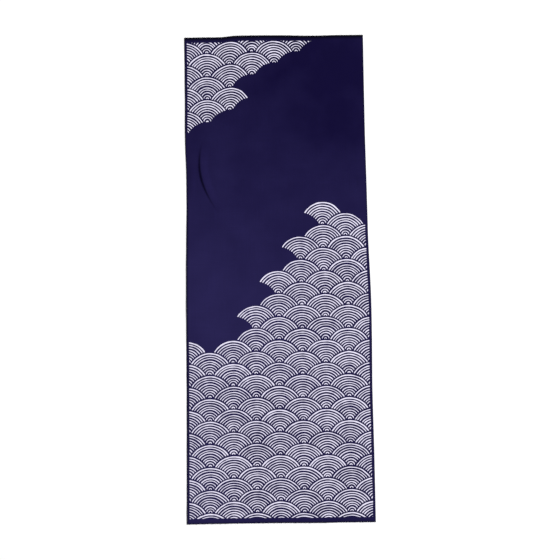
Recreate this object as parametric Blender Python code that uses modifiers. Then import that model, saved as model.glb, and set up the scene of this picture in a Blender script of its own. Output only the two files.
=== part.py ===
# Tenugui towel: one flat length of thin cotton, cut straight across at both ends, lying face up.
# Metres, +Z up. +Y runs up the cloth and +X across it. The origin is under the middle of the cloth,
# in the plane that it rests on.

import bpy
import numpy as np

# Driving dimensions
CLOTH_LENGTH = 0.900
CLOTH_THICKNESS = 0.0012

# How finely the surface is divided, and the strips of columns on each side of the crease.
COLUMN_PITCH = 0.0115
ROW_PITCH = 0.0130
CREASE_ROW_PITCH = 0.0080
LEFT_STRIP = 0.040
RIGHT_STRIP = 0.300

# The two selvedges. The cloth is wider at its lower end, and both edges wander a little.
# Columns: place up the cloth, left selvedge, right selvedge.
SIDES = (
    (-0.450, -0.1722, 0.1772),
    (-0.327, -0.1724, 0.1745),
    (-0.195, -0.1726, 0.1708),
    (-0.105, -0.1733, 0.1700),
    (-0.030, -0.1737, 0.1683),
    (0.006, -0.1738, 0.1666),
    (0.073, -0.1734, 0.1631),
    (0.139, -0.1727, 0.1611),
    (0.206, -0.1736, 0.1590),
    (0.250, -0.1754, 0.1575),
    (0.340, -0.1760, 0.1554),
    (0.450, -0.1772, 0.1532),
)

# The two cut ends. Columns: place across the cloth, lower end, upper end.
ENDS = (
    (-0.177, -0.4528, 0.4472),
    (-0.147, -0.4520, 0.4478),
    (-0.103, -0.4513, 0.4488),
    (-0.088, -0.4509, 0.4505),
    (-0.052, -0.4505, 0.4516),
    (0.000, -0.4499, 0.4518),
    (0.060, -0.4498, 0.4512),
    (0.103, -0.4489, 0.4522),
    (0.177, -0.4480, 0.4528),
)

# The one sharp crease, a bowed ridge near the left selvedge. Its crest is at
# x = CREASE_X + CREASE_BEND * (y - CREASE_Y) ** 2, between the two ends.
CREASE_X = -0.1473
CREASE_Y = 0.218
CREASE_BEND = 4.0
CREASE_LOW_END = 0.120
CREASE_HIGH_END = 0.264
CREASE_LIFT = 0.0030
CREASE_STEEP_SIDE = 0.0040
CREASE_SOFT_SIDE = 0.0165

# Places of the columns of faces that follow the crease, across it from its crest.
CREASE_COLUMNS = (-0.0110, -0.0065, -0.0040, -0.0020, 0.0, 0.0030, 0.0070, 0.0115, 0.0165)

# Places where the thin cloth stands a little off the surface.
# Columns: what it is, x, y, turn of its long axis in degrees, half length, half width, lift.
SLACK = (
    ("upper end, left of the middle", -0.092, 0.428, 84, 0.060, 0.024, 0.0011),
    ("below the upper right corner", 0.122, 0.418, 40, 0.052, 0.030, 0.0012),
    ("strip between crease and selvedge", -0.1635, 0.190, 88, 0.075, 0.0100, 0.0007),
    ("bulge below the foot of the crease", -0.088, 0.090, -38, 0.062, 0.028, 0.0013),
    ("left side at mid length", -0.140, -0.010, 68, 0.085, 0.032, 0.0014),
    ("right side where the selvedge steps out", 0.136, 0.020, -58, 0.072, 0.028, 0.0014),
    ("low wave over the lower half", 0.030, -0.215, 12, 0.135, 0.036, 0.0012),
    ("right side, lower down", 0.146, -0.300, 82, 0.090, 0.025, 0.0012),
    ("above the lower left corner", -0.138, -0.412, 52, 0.070, 0.036, 0.0014),
    ("lower end, right of the middle", 0.082, -0.424, 94, 0.055, 0.026, 0.0011),
)

NAVY_COTTON = (0.0130, 0.0103, 0.0561, 1.0)


def column(table, index):
    return np.array([row[index] for row in table])


def spaced(start, end, pitch):
    """Even steps from start to end, about a pitch apart, without the end itself."""
    count = max(1, round(abs(end - start) / pitch))
    return np.linspace(start, end, count, endpoint=False)


def bell(distance):
    """1 at 0, falling softly to 0 at 1 and staying there."""
    inside = np.clip(np.abs(distance), 0.0, 1.0)
    return np.cos(inside * np.pi / 2) ** 2


def crest_x(y):
    return CREASE_X + CREASE_BEND * (np.clip(y, CREASE_LOW_END, CREASE_HIGH_END) - CREASE_Y) ** 2


def row_places():
    """Places up the cloth of the rows of points, closer together along the crease."""
    half = CLOTH_LENGTH / 2
    return np.concatenate(
        [
            spaced(-half, CREASE_LOW_END, ROW_PITCH),
            spaced(CREASE_LOW_END, CREASE_HIGH_END, CREASE_ROW_PITCH),
            spaced(CREASE_HIGH_END, half, ROW_PITCH),
            [half],
        ]
    )


def across(y, left_cells, right_cells):
    """Places across the cloth of one row of points at y: even ones on both sides, and the ones
    that follow the crease between them."""
    left = np.interp(y, column(SIDES, 0), column(SIDES, 1))
    right = np.interp(y, column(SIDES, 0), column(SIDES, 2))
    crease = crest_x(y) + np.array(CREASE_COLUMNS)
    return np.concatenate(
        [
            np.linspace(left, crease[0], left_cells, endpoint=False),
            crease,
            np.linspace(crease[-1], right, right_cells + 1)[1:],
        ]
    )


def crease_height(x, y):
    """The ridge: steep on the left of its crest, soft on the right, fading out at both ends."""
    beside = x - crest_x(y)
    reach = np.where(beside < 0, CREASE_STEEP_SIDE, CREASE_SOFT_SIDE)
    middle = (CREASE_LOW_END + CREASE_HIGH_END) / 2
    half_length = (CREASE_HIGH_END - CREASE_LOW_END) / 2
    return CREASE_LIFT * bell(beside / reach) * bell((y - middle) / half_length)


def slack_height(x, y):
    """The soft low rises, each a bell along and across its own turned axes."""
    height = np.zeros_like(x)
    for _, at_x, at_y, turn, half_length, half_width, lift in SLACK:
        angle = np.radians(turn)
        along = (x - at_x) * np.cos(angle) + (y - at_y) * np.sin(angle)
        beside = (y - at_y) * np.cos(angle) - (x - at_x) * np.sin(angle)
        height += lift * bell(along / half_length) * bell(beside / half_width)
    return height


def underside_points():
    """Points of the cloth's underside, a row at a time from its lower end."""
    rows = row_places()
    left_cells = round(LEFT_STRIP / COLUMN_PITCH)
    right_cells = round(RIGHT_STRIP / COLUMN_PITCH)
    x = np.stack([across(y, left_cells, right_cells) for y in rows])
    part_up = (rows[:, None] + CLOTH_LENGTH / 2) / CLOTH_LENGTH
    lower = np.interp(x, column(ENDS, 0), column(ENDS, 1))
    upper = np.interp(x, column(ENDS, 0), column(ENDS, 2))
    y = lower + part_up * (upper - lower)
    z = crease_height(x, y) + slack_height(x, y)
    return np.stack([x, y, z], axis=-1)


def cotton_material():
    material = bpy.data.materials.new("navy dyed cotton")
    material.use_nodes = True
    shader = material.node_tree.nodes["Principled BSDF"]
    shader.inputs["Base Color"].default_value = NAVY_COTTON
    shader.inputs["Roughness"].default_value = 0.9
    shader.inputs["Metallic"].default_value = 0.0
    return material


def make_cloth(collection):
    """A grid moved onto the underside and thickened upwards."""
    points = underside_points()
    rows, columns = points.shape[:2]
    bpy.ops.mesh.primitive_grid_add(x_subdivisions=columns - 1, y_subdivisions=rows - 1, size=2)
    cloth = bpy.context.object
    cloth.name = "towel"
    cloth.data.name = "towel"
    grid = np.empty(len(cloth.data.vertices) * 3)
    cloth.data.vertices.foreach_get("co", grid)
    grid = grid.reshape(-1, 3)
    column_of = np.rint((grid[:, 0] + 1) / 2 * (columns - 1)).astype(int)
    row_of = np.rint((grid[:, 1] + 1) / 2 * (rows - 1)).astype(int)
    cloth.data.vertices.foreach_set("co", points[row_of, column_of].ravel())
    cloth.data.update()
    wall = cloth.modifiers.new("thickness", "SOLIDIFY")
    wall.thickness = CLOTH_THICKNESS
    wall.offset = 1.0
    cloth.data.shade_smooth()
    cloth.data.materials.append(cotton_material())
    for owner in list(cloth.users_collection):
        owner.objects.unlink(cloth)
    collection.objects.link(cloth)
    return cloth


def main():
    for old in list(bpy.data.objects):
        bpy.data.objects.remove(old, do_unlink=True)
    collection = bpy.data.collections.new("tenugui towel")
    bpy.context.scene.collection.children.link(collection)
    make_cloth(collection)


main()
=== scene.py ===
import bpy
import numpy as np
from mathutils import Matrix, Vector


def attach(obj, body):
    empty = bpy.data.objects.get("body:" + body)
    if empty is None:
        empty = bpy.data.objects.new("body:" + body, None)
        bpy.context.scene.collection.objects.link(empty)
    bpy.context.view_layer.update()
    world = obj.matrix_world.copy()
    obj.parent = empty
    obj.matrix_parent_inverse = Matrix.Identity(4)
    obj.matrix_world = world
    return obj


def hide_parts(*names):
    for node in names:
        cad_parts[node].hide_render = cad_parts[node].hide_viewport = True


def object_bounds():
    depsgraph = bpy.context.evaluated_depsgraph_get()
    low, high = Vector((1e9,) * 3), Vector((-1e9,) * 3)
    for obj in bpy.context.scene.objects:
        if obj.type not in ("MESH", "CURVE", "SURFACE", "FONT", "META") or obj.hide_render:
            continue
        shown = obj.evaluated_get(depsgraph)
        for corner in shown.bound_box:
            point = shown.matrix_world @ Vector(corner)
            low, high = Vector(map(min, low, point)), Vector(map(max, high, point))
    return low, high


# Tenugui towel: a long narrow length of thin cotton, navy with fine undyed lines, laid out flat and
# seen from straight above. Metres, +Z up, +Y towards the narrower end, +X across the cloth.

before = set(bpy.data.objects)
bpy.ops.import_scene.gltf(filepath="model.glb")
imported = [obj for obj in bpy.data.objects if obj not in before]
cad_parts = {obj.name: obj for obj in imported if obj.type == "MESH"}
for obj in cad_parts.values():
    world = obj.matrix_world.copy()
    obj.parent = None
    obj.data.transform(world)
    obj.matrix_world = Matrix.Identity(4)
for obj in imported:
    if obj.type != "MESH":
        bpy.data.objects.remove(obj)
cadLow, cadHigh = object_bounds()
print("frame loaded, cloth box", [round(side, 4) for side in cadHigh - cadLow])


# Small helpers

def linearColour(hexText):
    # sRGB hex to linear: each channel c becomes c / 12.92 when small, else ((c + 0.055) / 1.055) ** 2.4
    channels = np.array([int(hexText[place:place + 2], 16) for place in (1, 3, 5)]) / 255
    linear = np.where(channels <= 0.04045, channels / 12.92, ((channels + 0.055) / 1.055) ** 2.4)
    return (*linear.tolist(), 1.0)


def addNode(tree, kind, inputs=None, **settings):
    # adds one node, with its settings, and its inputs as numbers, colours or links
    node = tree.nodes.new(kind)
    for name, value in settings.items():
        setattr(node, name, value)
    for key, value in (inputs or {}).items():
        if isinstance(value, bpy.types.NodeSocket):
            tree.links.new(value, node.inputs[key])
        else:
            node.inputs[key].default_value = value
    return node


def newMaterial(name):
    material = bpy.data.materials.new(name)
    material.use_nodes = True
    material.node_tree.nodes.clear()
    return material, material.node_tree


def tableColumn(table, index):
    return np.array([row[index] for row in table])


def bell(distance):
    # 1 at 0, falling as a squared cosine to 0 at 1 and staying there
    return np.cos(np.clip(np.abs(distance), 0.0, 1.0) * np.pi / 2) ** 2


def smoothThrough(at, places, values):
    # a cubic between each two points of a table, whose slope at a point is that of its neighbours
    slopes = np.gradient(values, places)
    left = np.clip(np.searchsorted(places, at) - 1, 0, len(places) - 2)
    span = places[left + 1] - places[left]
    t = (at - places[left]) / span
    return (
        (2 * t**3 - 3 * t**2 + 1) * values[left]
        + (t**3 - 2 * t**2 + t) * span * slopes[left]
        + (3 * t**2 - 2 * t**3) * values[left + 1]
        + (t**3 - t**2) * span * slopes[left + 1]
    )


def setUv(mesh, uv):
    # uv holds one place on the flat cloth, in metres, for each point of the mesh
    corners = np.empty(len(mesh.loops), np.int32)
    mesh.loops.foreach_get("vertex_index", corners)
    layer = mesh.uv_layers.new(name="clothMetres")
    layer.data.foreach_set("uv", uv[corners].astype(np.float32).ravel())


def setAttribute(mesh, name, values):
    attribute = mesh.attributes.new(name, "FLOAT", "POINT")
    attribute.data.foreach_set("value", values.astype(np.float32).ravel())


def makeObject(name, points, faces, material):
    mesh = bpy.data.meshes.new(name)
    mesh.from_pydata(points.reshape(-1, 3).tolist(), [], faces.tolist())
    mesh.shade_smooth()
    mesh.materials.append(material)
    made = bpy.data.objects.new(name, mesh)
    bpy.context.scene.collection.objects.link(made)
    return made


def gridFaces(rows, columns):
    # the four corners of each cell of a grid of points that is stored a row at a time
    corner = (np.arange(rows - 1)[:, None] * columns + np.arange(columns - 1)).ravel()
    return np.stack([corner, corner + 1, corner + columns + 1, corner + columns], axis=1)


# The camera looks straight down, as in the photograph

cameraSettings = {
    "fieldWidth": 1.0358,  # metres of floor across the square picture
    "height": 3.0,
    "sensor": 36.0,
    "centre": (-0.0001, -0.0005),  # the cloth isn't quite in the middle of the picture
}

cameraData = bpy.data.cameras.new("camera")
cameraData.sensor_width = cameraSettings["sensor"]
cameraData.lens = cameraSettings["sensor"] * cameraSettings["height"] / cameraSettings["fieldWidth"]
camera = bpy.data.objects.new("camera", cameraData)
camera.location = (*cameraSettings["centre"], cameraSettings["height"])
bpy.context.scene.collection.objects.link(camera)
bpy.context.scene.camera = camera
print("camera placed")


# The cloth's shape: the same outline, crease and soft rises as the solid, more finely divided

clothSettings = {
    "flatWidth": 0.340,  # the size it was cut to
    "flatLength": 0.900,
    "thickness": 0.00045,
    "clearance": 0.00005,  # between its flat parts and the floor
    "columnPitch": 0.0034,
    "rowPitch": 0.0034,
    "leftStrip": 0.040,  # sets the number of columns left of the crease
    "rightStrip": 0.300,  # and right of it
    "rippleHeight": 0.00016,
}

# Columns: place up the cloth, left selvedge, right selvedge.
sideTable = (
    (-0.450, -0.1722, 0.1772),
    (-0.327, -0.1724, 0.1745),
    (-0.195, -0.1726, 0.1708),
    (-0.105, -0.1733, 0.1700),
    (-0.030, -0.1737, 0.1683),
    (0.006, -0.1738, 0.1666),
    (0.073, -0.1734, 0.1631),
    (0.139, -0.1727, 0.1611),
    (0.206, -0.1736, 0.1590),
    (0.250, -0.1754, 0.1575),
    (0.340, -0.1760, 0.1554),
    (0.450, -0.1772, 0.1532),
)

# Columns: place across the cloth, lower end, upper end.
endTable = (
    (-0.177, -0.4528, 0.4472),
    (-0.147, -0.4520, 0.4478),
    (-0.103, -0.4513, 0.4488),
    (-0.088, -0.4509, 0.4505),
    (-0.052, -0.4505, 0.4516),
    (0.000, -0.4499, 0.4518),
    (0.060, -0.4498, 0.4512),
    (0.103, -0.4489, 0.4522),
    (0.177, -0.4480, 0.4528),
)

# The bowed crease by the left selvedge: its crest is at x + bend * (up - y) ** 2.
creaseSettings = {
    "x": -0.1473,
    "y": 0.218,
    "bend": 4.0,
    "lowEnd": 0.120,
    "highEnd": 0.264,
    "lift": 0.0030,
    "steepSide": 0.0034,
    "softSide": 0.0165,
    "bandLeft": -0.0100,  # columns between these two run along it
    "bandRight": 0.0175,
    "bandPitch": 0.0009,
    "paintedShadeChange": -0.31,  # painted shade: the navy is made deeper in a narrow line on its steep side, adding to the real shade the light casts there
    "paintedShadePlace": -0.0026,
    "paintedShadeWidth": 0.0042,
}

# Columns: what it is, x, y, turn of its long axis in degrees, half length, half width, lift.
slackTable = (
    ("upper end, left of the middle", -0.092, 0.428, 84, 0.060, 0.024, 0.0011),
    ("below the upper right corner", 0.122, 0.418, 40, 0.052, 0.030, 0.0012),
    ("strip between crease and selvedge", -0.1635, 0.190, 88, 0.075, 0.0100, 0.0007),
    ("bulge below the foot of the crease", -0.088, 0.090, -38, 0.062, 0.028, 0.0013),
    ("left side at mid length", -0.140, -0.010, 68, 0.085, 0.032, 0.0014),
    ("right side where the selvedge steps out", 0.136, 0.020, -58, 0.072, 0.028, 0.0014),
    ("low wave over the lower half", 0.030, -0.215, 12, 0.135, 0.036, 0.0012),
    ("right side, lower down", 0.146, -0.300, 82, 0.090, 0.025, 0.0012),
    ("above the lower left corner", -0.138, -0.412, 52, 0.070, 0.036, 0.0014),
    ("lower end, right of the middle", 0.082, -0.424, 94, 0.055, 0.026, 0.0011),
)

# Fine unevenness all over. Columns: turn in degrees, wavelength, share of the height, phase.
rippleTable = (
    (8, 0.091, 1.0, 0.4),
    (81, 0.067, 0.9, 1.9),
    (-33, 0.047, 0.6, 3.1),
    (52, 0.033, 0.4, 5.2),
)

# Painted light and shade: where the navy is made paler or deeper than elsewhere, for the uneven light across
# the cloth, with painted shade between the crease and the selvedge and painted light on the crease's soft
# side.
# Columns: what it is, x, y, half width, half length, change.
paintedLightTable = (
    ("deeper upper end", 0.060, 0.430, 0.400, 0.340, -0.42),
    ("deeper by the upper right selvedge", 0.120, 0.330, 0.150, 0.190, -0.20),
    ("painted shade between crease and selvedge", -0.165, 0.230, 0.030, 0.130, -0.08),
    ("painted light on the soft side of the crease", -0.112, 0.195, 0.045, 0.100, 0.14),
    ("paler left side at mid length", -0.120, -0.050, 0.220, 0.240, 0.44),
    ("paler by the lower left selvedge", -0.165, -0.380, 0.140, 0.260, 0.32),
    ("deeper lower right corner", 0.110, -0.440, 0.100, 0.140, -0.13),
)


def crestX(y):
    # a parabola between the crease's two ends, held level beyond them
    held = np.clip(y, creaseSettings["lowEnd"], creaseSettings["highEnd"])
    return creaseSettings["x"] + creaseSettings["bend"] * (held - creaseSettings["y"]) ** 2


def creaseStrength(y):
    # a bell along the crease, 1 at its middle and 0 at its two ends
    middle = (creaseSettings["lowEnd"] + creaseSettings["highEnd"]) / 2
    halfLength = (creaseSettings["highEnd"] - creaseSettings["lowEnd"]) / 2
    return bell((y - middle) / halfLength)


def creaseHeight(x, y):
    # a bell across the crest, narrow on its left and wide on its right, times the strength along it
    beside = x - crestX(y)
    reach = np.where(beside < 0, creaseSettings["steepSide"], creaseSettings["softSide"])
    return creaseSettings["lift"] * bell(beside / reach) * creaseStrength(y)


def slackHeight(x, y):
    # the sum of soft rises, each a bell along and across its own turned axes
    height = np.zeros_like(x)
    for _, atX, atY, turn, halfLength, halfWidth, lift in slackTable:
        angle = np.radians(turn)
        along = (x - atX) * np.cos(angle) + (y - atY) * np.sin(angle)
        beside = (y - atY) * np.cos(angle) - (x - atX) * np.sin(angle)
        height += lift * bell(along / halfLength) * bell(beside / halfWidth)
    return height


def rippleHeight(x, y):
    # the sum of a few crossing sine waves, each raised so that it is nowhere below 0
    height = np.zeros_like(x)
    for turn, wavelength, share, phase in rippleTable:
        angle = np.radians(turn)
        along = x * np.cos(angle) + y * np.sin(angle)
        height += share * (1 + np.sin(2 * np.pi * along / wavelength + phase)) / 2
    return clothSettings["rippleHeight"] * height


def clothSurface():
    # the underside as a grid: each row runs from one selvedge to the other, and each column from one
    # cut end to the other, the columns by the crease running along it
    half = clothSettings["flatLength"] / 2
    up = np.linspace(-half, half, round(2 * half / clothSettings["rowPitch"]) + 1)
    sidePlaces = tableColumn(sideTable, 0)
    left = smoothThrough(up, sidePlaces, tableColumn(sideTable, 1))
    right = smoothThrough(up, sidePlaces, tableColumn(sideTable, 2))

    bandWidth = creaseSettings["bandRight"] - creaseSettings["bandLeft"]
    bandCount = round(bandWidth / creaseSettings["bandPitch"]) + 1
    band = np.linspace(creaseSettings["bandLeft"], creaseSettings["bandRight"], bandCount)
    creaseX = crestX(up)[:, None] + band
    leftCells = round(clothSettings["leftStrip"] / clothSettings["columnPitch"])
    rightCells = round(clothSettings["rightStrip"] / clothSettings["columnPitch"])
    leftShares = np.linspace(0, 1, leftCells, endpoint=False)
    rightShares = np.linspace(0, 1, rightCells + 1)[1:]
    leftX = left[:, None] + (creaseX[:, :1] - left[:, None]) * leftShares
    rightX = creaseX[:, -1:] + (right[:, None] - creaseX[:, -1:]) * rightShares
    x = np.concatenate([leftX, creaseX, rightX], axis=1)

    endPlaces = tableColumn(endTable, 0)
    lower = smoothThrough(x, endPlaces, tableColumn(endTable, 1))
    upper = smoothThrough(x, endPlaces, tableColumn(endTable, 2))
    partUp = (up[:, None] + half) / (2 * half)
    y = lower + partUp * (upper - lower)
    z = clothSettings["clearance"] + creaseHeight(x, y) + slackHeight(x, y) + rippleHeight(x, y)

    partAcross = (x - left[:, None]) / (right - left)[:, None]
    u = partAcross * clothSettings["flatWidth"]
    v = np.broadcast_to(partUp * clothSettings["flatLength"], u.shape)
    return np.stack([x, y, z], axis=-1), np.stack([u, v], axis=-1)


# Dyed cotton: plain weave, dyed right through with a paste that keeps fine lines bare, then washed.
# To the eye it is dead matt and soft, the navy a little uneven, the lines a lavender white whose
# edges waver as a hand-cut stencil's do.

dyeSettings = {
    "deepNavy": "#0E0830",
    "paleNavy": "#25204C",
    "undyed": "#E5E1F5",
    "evenFade": 0.50,  # how far the dye is from deep to pale before the patches are added
    "mottlesPerMetre": 16.0,  # patches about 60 mm across, where the cloth took the dye unevenly
    "mottleChange": 0.12,  # how far they take the dye towards deep or pale
    "mottleRange": (0.3, 0.7),  # values of the noise that are deepest and palest
    "selvedgeShade": 0.62,  # how bright the edges are, as a share of the rest
    "selvedgeWidth": 0.0052,
    "upperEndShade": 0.05,  # the upper cut end is the darkest edge
    "upperEndWidth": 0.0095,
}

weaveSettings = {
    "threadPitch": 0.0009,  # the real pitch is about 0.45 mm, drawn twice as coarse so that it shows
    "threadDepth": 0.00010,
    "holeShade": 0.82,  # painted shade: how bright the weave is in the hollows between its threads
    "holeHeight": 0.6,  # the share of a thread's height below which it darkens towards that
    "slubWidth": 0.0011,  # thick and thin places in single threads
    "slubLength": 0.060,
    "slubRange": (0.7, 1.3),  # values of the two noises' sum that are thinnest and thickest
    "slubShade": (0.93, 1.05),  # and how bright these are
    "slubRoughness": (0.88, 0.96),
    "slubLift": 0.6,  # height of the slubs as a share of the threads'
    "bumpStrength": 0.6,
}

# Waves of concentric arcs, an old and common textile pattern: overlapping fans in rows.
patternSettings = {
    "fansAcross": 4,
    "linesPerFan": 9,
    "rimGap": 0.0016,  # plain navy round each fan, outside its lines
    "rimBolder": 1.30,  # the outermost line is this much wider than the others
    "lineShare": 0.340,  # of the distance between lines
    "lineShareWander": 0.16,  # about how much wider or thinner a line gets along its arc
    "swellsPerMetre": 95.0,  # and how often it does
    "swellRange": (0.25, 0.75),  # values of the noise where it is thinnest and widest
    "linePlaceUneven": 0.09,  # each whole line in or out of its even place, as a share of the distance
    "lineWidthUneven": 0.22,  # each whole line thinner or thicker
    "lineWander": 0.00050,  # about how far a line strays in and out along its arc
    "wandersPerMetre": 38.0,  # and how often it does
    "edgeSoftness": 0.00022,
    "sideMargin": 0.0050,  # plain navy left by the stencil along the selvedges
    "endMargin": 0.0098,  # and at the cut ends, where no sliver of a further line or row is left
    "fieldHeight": 0.430,  # up the cloth, the mean top of the field of fans at its lower end
    "fieldRise": 0.130,  # that top swells this far above and below the mean
    "fieldWavelength": 0.52,
    "fieldPhase": -1.9,
    "upperStart": 0.705,  # where the upper left field starts, at the left selvedge
    "upperSlope": 0.72,
    "raggedness": 0.030,
}

fanWidth = clothSettings["flatWidth"] / patternSettings["fansAcross"]
fanRadius = fanWidth / 2
fanRowPitch = fanRadius / 2
linedRadius = fanRadius - patternSettings["rimGap"]
linePitch = linedRadius / patternSettings["linesPerFan"]


def navyToneAndPaintedLight(x, y):
    # 0 where the navy is deepest and 1 where it is palest: an even share of dye plus the sum of wide bells of
    # painted light and shade, and a narrow bell of painted shade along the crease
    toneWithPaintedLight = np.full_like(x, dyeSettings["evenFade"])
    for _, atX, atY, halfWidth, halfLength, change in paintedLightTable:
        toneWithPaintedLight += change * bell((x - atX) / halfWidth) * bell((y - atY) / halfLength)
    beside = x - crestX(y) - creaseSettings["paintedShadePlace"]
    toneWithPaintedLight += creaseSettings["paintedShadeChange"] * bell(beside / creaseSettings["paintedShadeWidth"]) * creaseStrength(y)
    return np.clip(toneWithPaintedLight, 0.0, 1.0)


def fanNodes(tree, cloth, u, v):
    # rows of fans lie half a radius apart and every other row is shifted by a radius; the row in front
    # shows within the radius of its fans, and elsewhere the row behind it shows. It gives the distance to
    # the centre of the fan that shows, and that centre.
    rowShare = addNode(tree, "ShaderNodeMath", {0: v, 1: fanRowPitch}, operation="DIVIDE").outputs[0]
    behindRow = addNode(tree, "ShaderNodeMath", {0: rowShare}, operation="FLOOR").outputs[0]
    frontRow = addNode(tree, "ShaderNodeMath", {0: behindRow, 1: 1.0}, operation="SUBTRACT").outputs[0]
    fans = []
    for row in (behindRow, frontRow):
        odd = addNode(tree, "ShaderNodeMath", {0: row, 1: 2.0}, operation="FLOORED_MODULO").outputs[0]
        shift = addNode(tree, "ShaderNodeMath", {0: odd, 1: fanRadius}, operation="MULTIPLY").outputs[0]
        shifted = addNode(tree, "ShaderNodeMath", {0: u, 1: shift}, operation="SUBTRACT").outputs[0]
        ahead = addNode(tree, "ShaderNodeMath", {0: shifted, 1: fanRadius}, operation="ADD").outputs[0]
        column = addNode(tree, "ShaderNodeMath", {0: ahead, 1: fanWidth}, operation="SNAP").outputs[0]
        centreU = addNode(tree, "ShaderNodeMath", {0: column, 1: shift}, operation="ADD").outputs[0]
        centreV = addNode(tree, "ShaderNodeMath", {0: row, 1: fanRowPitch}, operation="MULTIPLY").outputs[0]
        centre = addNode(tree, "ShaderNodeCombineXYZ", {0: centreU, 1: centreV}).outputs[0]
        reach = addNode(tree, "ShaderNodeVectorMath", {0: cloth, 1: centre}, operation="DISTANCE")
        fans.append((reach.outputs["Value"], centre))
    (behindReach, behindCentre), (frontReach, frontCentre) = fans
    inFront = addNode(tree, "ShaderNodeMath", {
        0: frontReach, 1: fanRadius,
    }, operation="LESS_THAN").outputs[0]
    reach = addNode(tree, "ShaderNodeMix", {0: inFront, 2: behindReach, 3: frontReach}).outputs[0]
    centre = addNode(tree, "ShaderNodeMix", {
        0: inFront, 4: behindCentre, 5: frontCentre,
    }, data_type="VECTOR").outputs[1]
    return reach, centre


def lineNodes(tree, cloth, arc, fanU, fanV):
    # 1 on a line and 0 off it: lines at even distances from the fan's centre, each whole line drawn a
    # little out of place and thicker or thinner, swelling along its arc, the outermost one bolder
    arcShare = addNode(tree, "ShaderNodeMath", {0: arc, 1: linePitch}, operation="DIVIDE").outputs[0]
    within = addNode(tree, "ShaderNodeMath", {0: arcShare}, operation="FRACT").outputs[0]
    lineNumber = addNode(tree, "ShaderNodeMath", {0: arcShare}, operation="FLOOR").outputs[0]
    lineKey = addNode(tree, "ShaderNodeCombineXYZ", {0: fanU, 1: fanV, 2: lineNumber}).outputs[0]
    drawn = addNode(tree, "ShaderNodeTexWhiteNoise", {"Vector": lineKey}, noise_dimensions="3D")
    draws = addNode(tree, "ShaderNodeSeparateXYZ", {0: drawn.outputs["Color"]})
    linePlace = addNode(tree, "ShaderNodeMapRange", {
        0: draws.outputs["X"], 1: 0.0, 2: 1.0,
        3: 0.5 - patternSettings["linePlaceUneven"], 4: 0.5 + patternSettings["linePlaceUneven"],
    }).outputs[0]
    fromLine = addNode(tree, "ShaderNodeMath", {0: within, 1: linePlace}, operation="SUBTRACT").outputs[0]
    offLine = addNode(tree, "ShaderNodeMath", {0: fromLine}, operation="ABSOLUTE").outputs[0]

    lineBreadth = addNode(tree, "ShaderNodeMapRange", {
        0: draws.outputs["Y"], 1: 0.0, 2: 1.0,
        3: 1 - patternSettings["lineWidthUneven"], 4: 1 + patternSettings["lineWidthUneven"],
    }).outputs[0]
    swelling = addNode(tree, "ShaderNodeTexNoise", {
        "Vector": cloth, "Scale": patternSettings["swellsPerMetre"], "Detail": 2.0,
    }).outputs[0]
    thinnest, widest = patternSettings["swellRange"]
    halfShare = patternSettings["lineShare"] / 2
    swelled = addNode(tree, "ShaderNodeMapRange", {
        0: swelling, 1: thinnest, 2: widest,
        3: halfShare * (1 - 2 * patternSettings["lineShareWander"]),
        4: halfShare * (1 + 2 * patternSettings["lineShareWander"]),
    }).outputs[0]
    unevenLine = addNode(tree, "ShaderNodeMath", {
        0: swelled, 1: lineBreadth,
    }, operation="MULTIPLY").outputs[0]
    outermost = addNode(tree, "ShaderNodeMath", {
        0: lineNumber, 1: patternSettings["linesPerFan"] - 1.5,
    }, operation="GREATER_THAN").outputs[0]
    rimBreadth = addNode(tree, "ShaderNodeMath", {
        0: outermost, 1: patternSettings["rimBolder"] - 1, 2: 1.0,
    }, operation="MULTIPLY_ADD").outputs[0]
    halfLine = addNode(tree, "ShaderNodeMath", {
        0: unevenLine, 1: rimBreadth,
    }, operation="MULTIPLY").outputs[0]

    pastLine = addNode(tree, "ShaderNodeMath", {0: offLine, 1: halfLine}, operation="SUBTRACT").outputs[0]
    softShare = patternSettings["edgeSoftness"] / linePitch
    return addNode(tree, "ShaderNodeMapRange", {
        0: pastLine, 1: -softShare / 2, 2: softShare / 2, 3: 1.0, 4: 0.0,
    }, interpolation_type="SMOOTHSTEP").outputs[0]


def fieldNodes(tree, centre, fanU, fanV):
    # 1 for the fans of two fields with ragged edges: those whose centre is below a sine wave across the
    # lower part of the cloth, and those above a slanting line by its upper left corner
    chance = addNode(tree, "ShaderNodeTexWhiteNoise", {"Vector": centre}, noise_dimensions="2D")
    ragged = addNode(tree, "ShaderNodeMapRange", {
        0: chance.outputs[0], 1: 0.0, 2: 1.0,
        3: -patternSettings["raggedness"] / 2, 4: patternSettings["raggedness"] / 2,
    }).outputs[0]
    turn = addNode(tree, "ShaderNodeMath", {
        0: fanU, 1: 2 * np.pi / patternSettings["fieldWavelength"], 2: patternSettings["fieldPhase"],
    }, operation="MULTIPLY_ADD").outputs[0]
    wave = addNode(tree, "ShaderNodeMath", {0: turn}, operation="SINE").outputs[0]
    lowerTop = addNode(tree, "ShaderNodeMath", {
        0: wave, 1: patternSettings["fieldRise"], 2: patternSettings["fieldHeight"],
    }, operation="MULTIPLY_ADD").outputs[0]
    lowerEdge = addNode(tree, "ShaderNodeMath", {0: lowerTop, 1: ragged}, operation="ADD").outputs[0]
    inLower = addNode(tree, "ShaderNodeMath", {0: fanV, 1: lowerEdge}, operation="LESS_THAN").outputs[0]
    upperFoot = addNode(tree, "ShaderNodeMath", {
        0: fanU, 1: patternSettings["upperSlope"], 2: patternSettings["upperStart"],
    }, operation="MULTIPLY_ADD").outputs[0]
    upperEdge = addNode(tree, "ShaderNodeMath", {0: upperFoot, 1: ragged}, operation="ADD").outputs[0]
    inUpper = addNode(tree, "ShaderNodeMath", {0: fanV, 1: upperEdge}, operation="GREATER_THAN").outputs[0]
    return addNode(tree, "ShaderNodeMath", {0: inLower, 1: inUpper}, operation="MAXIMUM").outputs[0]


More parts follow.
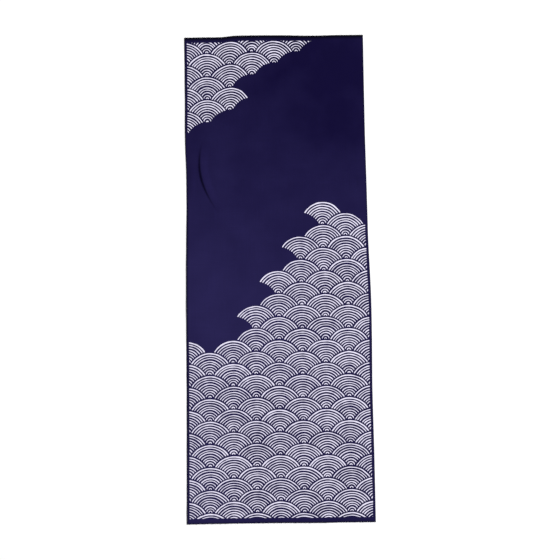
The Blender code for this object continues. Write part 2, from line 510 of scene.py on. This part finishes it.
def gapNodes(tree, along, wholeSize):
    # the distance to the nearer of two opposite edges: half the size less the distance from its middle
    half = wholeSize / 2
    fromMiddle = addNode(tree, "ShaderNodeMath", {0: along, 1: half}, operation="SUBTRACT").outputs[0]
    outward = addNode(tree, "ShaderNodeMath", {0: fromMiddle}, operation="ABSOLUTE").outputs[0]
    return addNode(tree, "ShaderNodeMath", {0: half, 1: outward}, operation="SUBTRACT").outputs[0]


def stencilNodes(tree, gap, strayed, margin):
    # 0 in the plain margin along two opposite edges and 1 inside it, where the stencil lay
    strayedGap = addNode(tree, "ShaderNodeMath", {0: gap, 1: strayed}, operation="ADD").outputs[0]
    softness = patternSettings["edgeSoftness"]
    return addNode(tree, "ShaderNodeMapRange", {
        0: strayedGap, 1: margin - softness, 2: margin + softness,
    }).outputs[0]


def bareNodes(tree, cloth, u, v, sideGap, endGap):
    # 1 where the paste kept the cotton bare and 0 where the dye took
    reach, centre = fanNodes(tree, cloth, u, v)
    fan = addNode(tree, "ShaderNodeSeparateXYZ", {0: centre})
    fanU, fanV = fan.outputs["X"], fan.outputs["Y"]
    wander = addNode(tree, "ShaderNodeTexNoise", {
        "Vector": cloth, "Scale": patternSettings["wandersPerMetre"], "Detail": 1.0,
    }).outputs[0]
    strayed = addNode(tree, "ShaderNodeMapRange", {
        0: wander, 1: 0.0, 2: 1.0,
        3: -2 * patternSettings["lineWander"], 4: 2 * patternSettings["lineWander"],
    }).outputs[0]
    arc = addNode(tree, "ShaderNodeMath", {0: reach, 1: strayed}, operation="ADD").outputs[0]
    onLine = lineNodes(tree, cloth, arc, fanU, fanV)
    bare = fieldNodes(tree, centre, fanU, fanV)
    inSides = stencilNodes(tree, sideGap, strayed, patternSettings["sideMargin"])
    inEnds = stencilNodes(tree, endGap, strayed, patternSettings["endMargin"])
    # no line in the plain rim, nor past it, where a sliver between three fans is left over
    inLined = addNode(tree, "ShaderNodeMath", {0: arc, 1: linedRadius}, operation="LESS_THAN").outputs[0]
    for allowed in (inSides, inEnds, inLined, onLine):
        bare = addNode(tree, "ShaderNodeMath", {0: bare, 1: allowed}, operation="MULTIPLY").outputs[0]
    return bare


def weaveNodes(tree, u, v):
    # a pillow where each lengthwise thread crosses a crosswise one: the root of the size of the product
    # of a sine across the cloth and a sine along it
    weaveTurn = np.pi / weaveSettings["threadPitch"]
    sines = []
    for way in (u, v):
        phase = addNode(tree, "ShaderNodeMath", {0: way, 1: weaveTurn}, operation="MULTIPLY").outputs[0]
        sines.append(addNode(tree, "ShaderNodeMath", {0: phase}, operation="SINE").outputs[0])
    crossed = addNode(tree, "ShaderNodeMath", {0: sines[0], 1: sines[1]}, operation="MULTIPLY").outputs[0]
    size = addNode(tree, "ShaderNodeMath", {0: crossed}, operation="ABSOLUTE").outputs[0]
    return addNode(tree, "ShaderNodeMath", {0: size}, operation="SQRT").outputs[0]


def slubNodes(tree, cloth):
    # noise stretched along the lengthwise threads, and other noise along the crosswise ones, added up
    perWidth = 1 / weaveSettings["slubWidth"]
    perLength = 1 / weaveSettings["slubLength"]
    slubs = []
    for stretch in ((perWidth, perLength, 1.0), (perLength, perWidth, 1.0)):
        along = addNode(tree, "ShaderNodeVectorMath", {0: cloth, 1: stretch}, operation="MULTIPLY")
        noise = addNode(tree, "ShaderNodeTexNoise", {"Vector": along.outputs[0], "Scale": 1.0, "Detail": 1.0})
        slubs.append(noise.outputs[0])
    return addNode(tree, "ShaderNodeMath", {0: slubs[0], 1: slubs[1]}, operation="ADD").outputs[0]


def dyeNodes(tree, cloth, bare):
    # navy from deep to pale by the navyToneAndPaintedLight attribute, which carries painted light and shade
    # as well as the dye's tone, and a soft mottling, with the bare cotton in it
    toneWithPaintedLight = addNode(tree, "ShaderNodeAttribute", attribute_name="navyToneAndPaintedLight").outputs["Fac"]
    mottle = addNode(tree, "ShaderNodeTexNoise", {
        "Vector": cloth, "Scale": dyeSettings["mottlesPerMetre"], "Detail": 4.0,
    }).outputs[0]
    deepest, palest = dyeSettings["mottleRange"]
    unevenDye = addNode(tree, "ShaderNodeMapRange", {
        0: mottle, 1: deepest, 2: palest, 3: -dyeSettings["mottleChange"], 4: dyeSettings["mottleChange"],
    }).outputs[0]
    paleness = addNode(tree, "ShaderNodeMath", {
        0: toneWithPaintedLight, 1: unevenDye,
    }, operation="ADD", use_clamp=True).outputs[0]
    navy = addNode(tree, "ShaderNodeMix", {
        0: paleness, 6: linearColour(dyeSettings["deepNavy"]), 7: linearColour(dyeSettings["paleNavy"]),
    }, data_type="RGBA").outputs[2]
    return addNode(tree, "ShaderNodeMix", {
        0: bare, 6: navy, 7: linearColour(dyeSettings["undyed"]),
    }, data_type="RGBA").outputs[2]


def shadeNodes(tree, v, pillow, slub, sideGap, endGap):
    # how bright each place is: thick threads a little brighter, painted shade between the threads, darker
    # along all four edges, and darkest at the upper cut end
    thinnest, thickest = weaveSettings["slubRange"]
    thinShade, thickShade = weaveSettings["slubShade"]
    threadShade = addNode(tree, "ShaderNodeMapRange", {
        0: slub, 1: thinnest, 2: thickest, 3: thinShade, 4: thickShade,
    }).outputs[0]
    holeShade = addNode(tree, "ShaderNodeMapRange", {
        0: pillow, 1: 0.0, 2: weaveSettings["holeHeight"], 3: weaveSettings["holeShade"], 4: 1.0,
    }).outputs[0]
    weaveShade = addNode(tree, "ShaderNodeMath", {
        0: threadShade, 1: holeShade,
    }, operation="MULTIPLY").outputs[0]
    edgeGap = addNode(tree, "ShaderNodeMath", {0: sideGap, 1: endGap}, operation="MINIMUM").outputs[0]
    selvedge = addNode(tree, "ShaderNodeMapRange", {
        0: edgeGap, 1: 0.0, 2: dyeSettings["selvedgeWidth"], 3: dyeSettings["selvedgeShade"], 4: 1.0,
    }, interpolation_type="SMOOTHSTEP").outputs[0]
    wholeLength = clothSettings["flatLength"]
    upperEnd = addNode(tree, "ShaderNodeMapRange", {
        0: v, 1: wholeLength, 2: wholeLength - dyeSettings["upperEndWidth"],
        3: dyeSettings["upperEndShade"], 4: 1.0,
    }, interpolation_type="SMOOTHSTEP").outputs[0]
    edgeShade = addNode(tree, "ShaderNodeMath", {0: selvedge, 1: upperEnd}, operation="MINIMUM").outputs[0]
    return addNode(tree, "ShaderNodeMath", {0: weaveShade, 1: edgeShade}, operation="MULTIPLY").outputs[0]


def dyedCotton():
    material, tree = newMaterial("navyResistDyedCotton")
    cloth = addNode(tree, "ShaderNodeUVMap", uv_map="clothMetres").outputs["UV"]
    place = addNode(tree, "ShaderNodeSeparateXYZ", {0: cloth})
    u, v = place.outputs["X"], place.outputs["Y"]
    sideGap = gapNodes(tree, u, clothSettings["flatWidth"])
    endGap = gapNodes(tree, v, clothSettings["flatLength"])
    bare = bareNodes(tree, cloth, u, v, sideGap, endGap)
    dyed = dyeNodes(tree, cloth, bare)
    pillow = weaveNodes(tree, u, v)
    slub = slubNodes(tree, cloth)
    shade = shadeNodes(tree, v, pillow, slub, sideGap, endGap)
    colour = addNode(tree, "ShaderNodeVectorMath", {0: dyed, 3: shade}, operation="SCALE").outputs[0]

    thinnest, thickest = weaveSettings["slubRange"]
    thinRoughness, thickRoughness = weaveSettings["slubRoughness"]
    roughness = addNode(tree, "ShaderNodeMapRange", {
        0: slub, 1: thinnest, 2: thickest, 3: thinRoughness, 4: thickRoughness,
    }).outputs[0]
    slubLift = addNode(tree, "ShaderNodeMath", {
        0: slub, 1: weaveSettings["slubLift"],
    }, operation="MULTIPLY").outputs[0]
    relief = addNode(tree, "ShaderNodeMath", {0: pillow, 1: slubLift}, operation="ADD").outputs[0]
    bump = addNode(tree, "ShaderNodeBump", {
        "Height": relief, "Distance": weaveSettings["threadDepth"], "Strength": weaveSettings["bumpStrength"],
    }).outputs[0]
    shader = addNode(tree, "ShaderNodeBsdfPrincipled", {
        "Base Color": colour, "Roughness": roughness, "Normal": bump, "Metallic": 0.0,
        "IOR": 1.5, "Specular IOR Level": 0.04, "Sheen Weight": 0.02, "Sheen Roughness": 0.5,
    })
    addNode(tree, "ShaderNodeOutputMaterial", {"Surface": shader.outputs[0]})
    return material


cottonMaterial = dyedCotton()
surface, flatPlaces = clothSurface()
rows, columns = surface.shape[:2]
cloth = makeObject("cloth", surface, gridFaces(rows, columns), cottonMaterial)
setUv(cloth.data, flatPlaces.reshape(-1, 2))
setAttribute(cloth.data, "navyToneAndPaintedLight", navyToneAndPaintedLight(surface[..., 0], surface[..., 1]))
wall = cloth.modifiers.new("thickness", "SOLIDIFY")
wall.thickness = clothSettings["thickness"]
wall.offset = 1.0
print("cloth made,", rows, "rows by", columns, "columns")


# Frayed ends of the lengthwise threads at the two raw cut ends

threadSettings = {
    "pitch": 0.00055,
    "pitchJitter": 0.35,  # how far each is out of its even place, as a share of the pitch
    "radius": 0.00011,
    "rootDepth": 0.0006,  # how far each starts inside the cloth
    "shortest": 0.0004,
    "longest": 0.0020,
    "lengthDraw": (1.2, 3.0),  # a beta draw between the two, with more short threads than long ones
    "splay": 0.45,  # largest sideways lean, as a share of the length
    "droop": 0.25,
    "ringPlaces": (0.0, 0.4, 0.75, 1.0),  # from root to tip
    "ringSizes": (1.0, 0.95, 0.75, 0.35),  # as shares of the radius
    "sides": 4,
    "seed": 7,
}


def frayedThreads(endRow, innerRow, flatRow):
    # each thread is a tapering tube along a short bent line: with length counted from its root, the ring
    # at place k lies at root + outward * length * k + sideways * length * lean * k ** 2, and is lower
    # than the root by length * droop * k ** 2, until it would reach the floor
    random = np.random.default_rng(threadSettings["seed"] + int(endRow[0, 1] > 0))
    runs = np.concatenate([[0], np.cumsum(np.linalg.norm(np.diff(endRow, axis=0), axis=1))])
    count = round(runs[-1] / threadSettings["pitch"])
    jitter = random.uniform(-threadSettings["pitchJitter"], threadSettings["pitchJitter"], count)
    at = (np.arange(count) + 0.5 + jitter) / count * runs[-1]
    edge = np.stack([np.interp(at, runs, endRow[:, axis]) for axis in range(3)], axis=1)
    flat = np.stack([np.interp(at, runs, flatRow[:, axis]) for axis in range(2)], axis=1)
    outward = np.sign((endRow - innerRow)[:, 1].mean())
    level = edge[:, 2] + clothSettings["thickness"] / 2
    lengthRange = threadSettings["longest"] - threadSettings["shortest"]
    length = threadSettings["shortest"] + lengthRange * random.beta(*threadSettings["lengthDraw"], count)
    lean = random.uniform(-1, 1, count) * threadSettings["splay"]

    places = np.array(threadSettings["ringPlaces"])
    sizes = np.array(threadSettings["ringSizes"])
    reach = (length + threadSettings["rootDepth"])[:, None] * places
    x = edge[:, 0:1] + reach * lean[:, None] * places
    y = edge[:, 1:2] + outward * (reach - threadSettings["rootDepth"])
    low = threadSettings["radius"] + clothSettings["clearance"]
    z = np.maximum(level[:, None] - reach * threadSettings["droop"] * places, low)
    turns = np.arange(threadSettings["sides"]) / threadSettings["sides"] * 2 * np.pi
    ringX = np.cos(turns) * threadSettings["radius"]
    ringZ = np.sin(turns) * threadSettings["radius"]
    points = np.stack([
        x[:, :, None] + sizes[:, None] * ringX,
        np.broadcast_to(y[:, :, None], (count, len(places), len(turns))),
        z[:, :, None] + sizes[:, None] * ringZ,
    ], axis=-1)
    return points, flat, outward


def threadFaces(count, rings, sides, firstPoint, outward):
    # the quads between neighbouring rings of every tube, and a quad over each of its two ends
    side = np.arange(sides)
    after = (side + 1) % sides
    tube = np.arange(rings - 1)[:, None] * sides
    wallQuads = np.stack([tube + side, tube + after, tube + sides + after, tube + sides + side], axis=-1)
    rootCap = side[::-1]
    tipCap = (rings - 1) * sides + side
    one = np.concatenate([wallQuads.reshape(-1, 4), [rootCap], [tipCap]])
    if outward > 0:
        one = one[:, ::-1]
    starts = firstPoint + np.arange(count) * rings * sides
    return (starts[:, None, None] + one).reshape(-1, 4)


threadPoints, threadQuads, threadFlat = [], [], []
firstPoint = 0
for end, inner in ((0, 1), (-1, -2)):
    points, flat, outward = frayedThreads(surface[end], surface[inner], flatPlaces[end])
    count, rings, sides = points.shape[:3]
    threadQuads.append(threadFaces(count, rings, sides, firstPoint, outward))
    threadPoints.append(points.reshape(-1, 3))
    threadFlat.append(np.repeat(flat, rings * sides, axis=0))
    firstPoint += count * rings * sides
threadPoints = np.concatenate(threadPoints)
cutEndThreads = makeObject("cutEndThreads", threadPoints, np.concatenate(threadQuads), cottonMaterial)
setUv(cutEndThreads.data, np.concatenate(threadFlat))
setAttribute(cutEndThreads.data, "navyToneAndPaintedLight", navyToneAndPaintedLight(threadPoints[:, 0], threadPoints[:, 1]))
print("cut end threads made,", len(threadPoints) // (rings * sides))


# Plain pale floor and soft studio light

studioSettings = {
    "floorSize": 40.0,  # so that its far edge stays out of a low view
    "floorTone": "#FBFBFC",
    "floorMottle": 0.985,  # how bright its darkest mottling is, as a share of the rest
    "mottlesPerMetre": 3.0,
    "surround": 0.50,
    "surroundTone": "#FFFFFF",
    "keyPower": 500.0,
    "keySize": (2.4, 2.4),
    "keyPlace": (5.0, 1.4, 4.0),  # low and far off to the right, so that the crease throws a soft shade
}


def floorMaterial():
    # matt laminate, pressed smooth: an even near white with the faintest mottling
    material, tree = newMaterial("matPaleLaminate")
    place = addNode(tree, "ShaderNodeTexCoord").outputs["Object"]
    mottle = addNode(tree, "ShaderNodeTexNoise", {
        "Vector": place, "Scale": studioSettings["mottlesPerMetre"], "Detail": 2.0,
    }).outputs[0]
    tone = linearColour(studioSettings["floorTone"])
    shaded = (*(channel * studioSettings["floorMottle"] for channel in tone[:3]), 1.0)
    colour = addNode(tree, "ShaderNodeMix", {0: mottle, 6: shaded, 7: tone}, data_type="RGBA").outputs[2]
    shader = addNode(tree, "ShaderNodeBsdfPrincipled", {
        "Base Color": colour, "Roughness": 0.85, "Specular IOR Level": 0.2,
    })
    addNode(tree, "ShaderNodeOutputMaterial", {"Surface": shader.outputs[0]})
    return material


def softBox(name, power, size, place):
    # an area light that faces the middle of the cloth and isn't seen itself
    data = bpy.data.lights.new(name, "AREA")
    data.energy = power
    data.shape = "RECTANGLE"
    data.size, data.size_y = size
    made = bpy.data.objects.new(name, data)
    made.location = place
    made.rotation_euler = (-made.location).to_track_quat("-Z", "Y").to_euler()
    made.visible_camera = False
    bpy.context.scene.collection.objects.link(made)


halfFloor = studioSettings["floorSize"] / 2
side = np.linspace(-halfFloor, halfFloor, 3)
floorX, floorY = np.meshgrid(side, side)
floorPoints = np.stack([floorX, floorY, np.full_like(floorX, cadLow.z)], axis=-1)
floor = makeObject("floor", floorPoints, gridFaces(3, 3), floorMaterial())
softBox("keyLight", studioSettings["keyPower"], studioSettings["keySize"], studioSettings["keyPlace"])
world = bpy.data.worlds.new("studio")
world.use_nodes = True
surround = world.node_tree.nodes["Background"]
surround.inputs["Color"].default_value = linearColour(studioSettings["surroundTone"])
surround.inputs["Strength"].default_value = studioSettings["surround"]
bpy.context.scene.world = world
bpy.context.scene.view_settings.view_transform = "Standard"
print("floor and lights made")


# What rides where; the towel solid from model.glb is hidden

for piece in (cloth, cutEndThreads):
    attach(piece, "root")
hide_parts("towel")
